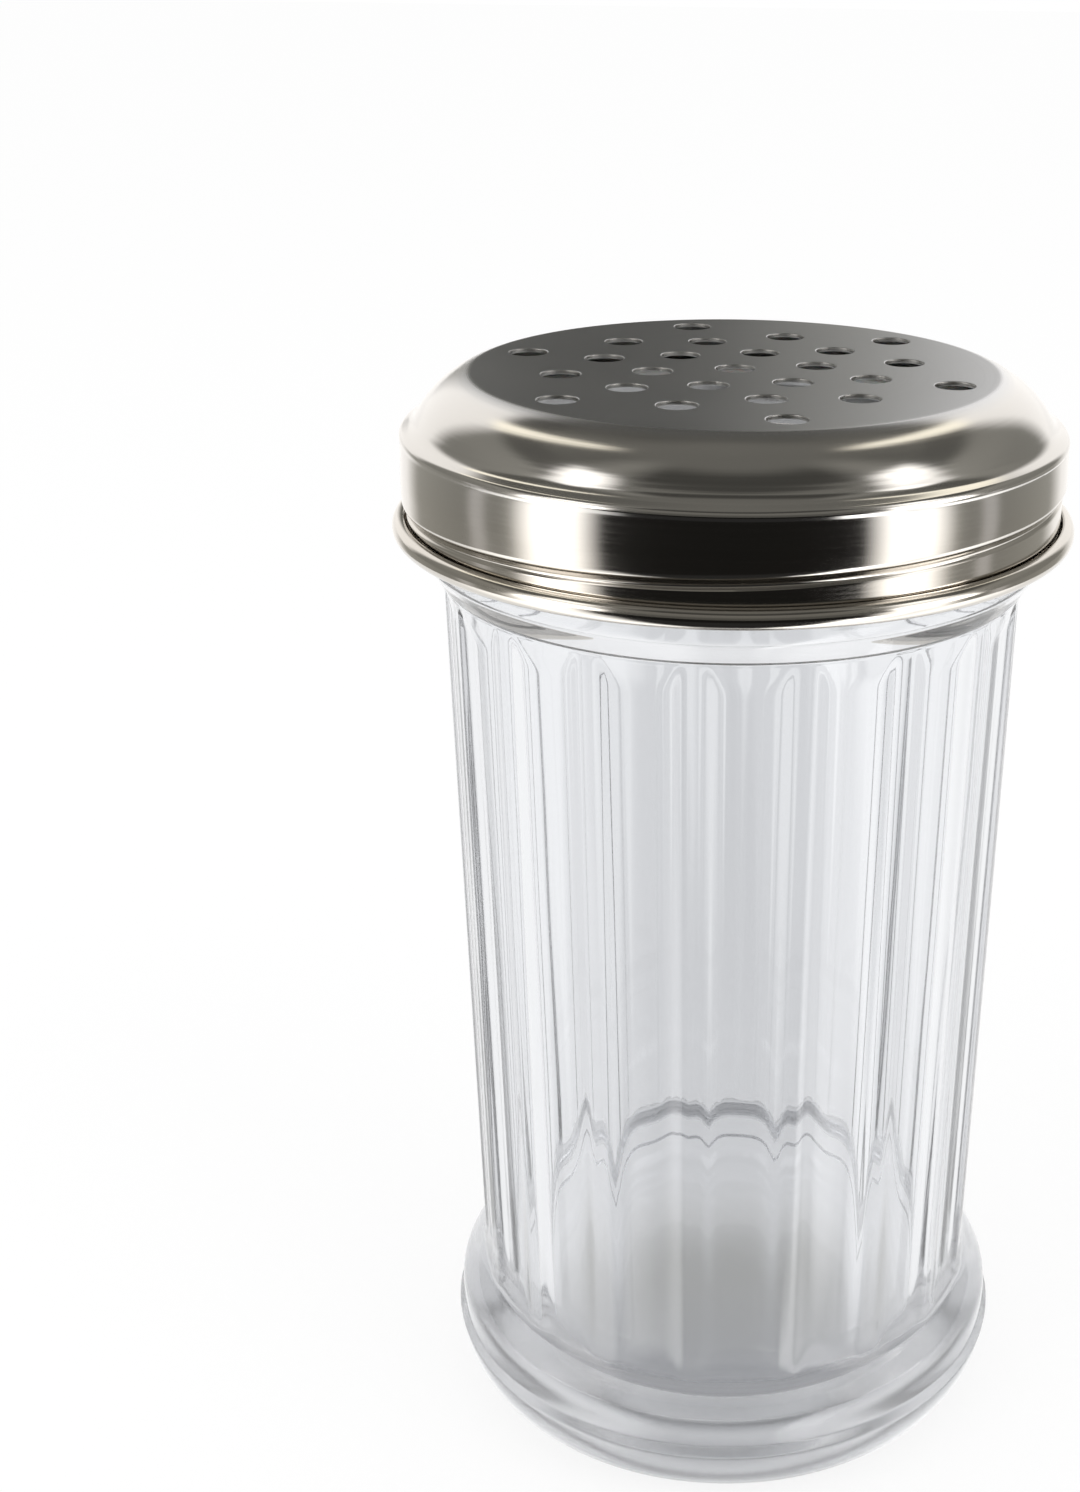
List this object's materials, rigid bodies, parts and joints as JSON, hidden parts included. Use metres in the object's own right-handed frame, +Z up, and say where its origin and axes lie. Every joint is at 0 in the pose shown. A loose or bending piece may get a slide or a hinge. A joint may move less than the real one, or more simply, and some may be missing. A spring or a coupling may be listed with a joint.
{
  "type": "parmesan shaker",
  "caption": "Fluted glass jar with a bellied round foot and a perforated steel screw cap, for sprinkling grated cheese at the table.",
  "frame": {"origin": "centre of the foot's underside, on the surface that the shaker stands on", "axes": "+Z up along the jar's axis, towards the cap; the picture looks along +Y with +X to the right"},
  "size_m": [0.078, 0.078, 0.1342],
  "materials": {
    "clear_glass": "clear moulded glass, fire-polished",
    "cap_steel": "stainless sheet, satin top and polished sides",
    "seat_rubber": "soft translucent white"
  },
  "bodies": {
    "jar": {"glass_jar": "clear_glass"},
    "seat": {"seat_ring": "seat_rubber"},
    "cap": {"perforated_cap": "cap_steel"}
  },
  "joints": [
    {"name": "cap_lift", "type": "slide", "parent": "jar", "child": "seat", "axis": [0, 0, 1], "range_m": [0, 0.0191]},
    {"name": "cap_turn", "type": "hinge", "parent": "seat", "child": "cap", "pos_m": [0, 0, 0.127], "axis": [0, 0, 1], "range_deg": [0, 1080]}
  ],
  "couplings": [
    {"joint": "cap_lift", "follows": "cap_turn", "m_per_rad": 0.0010106}
  ]
}
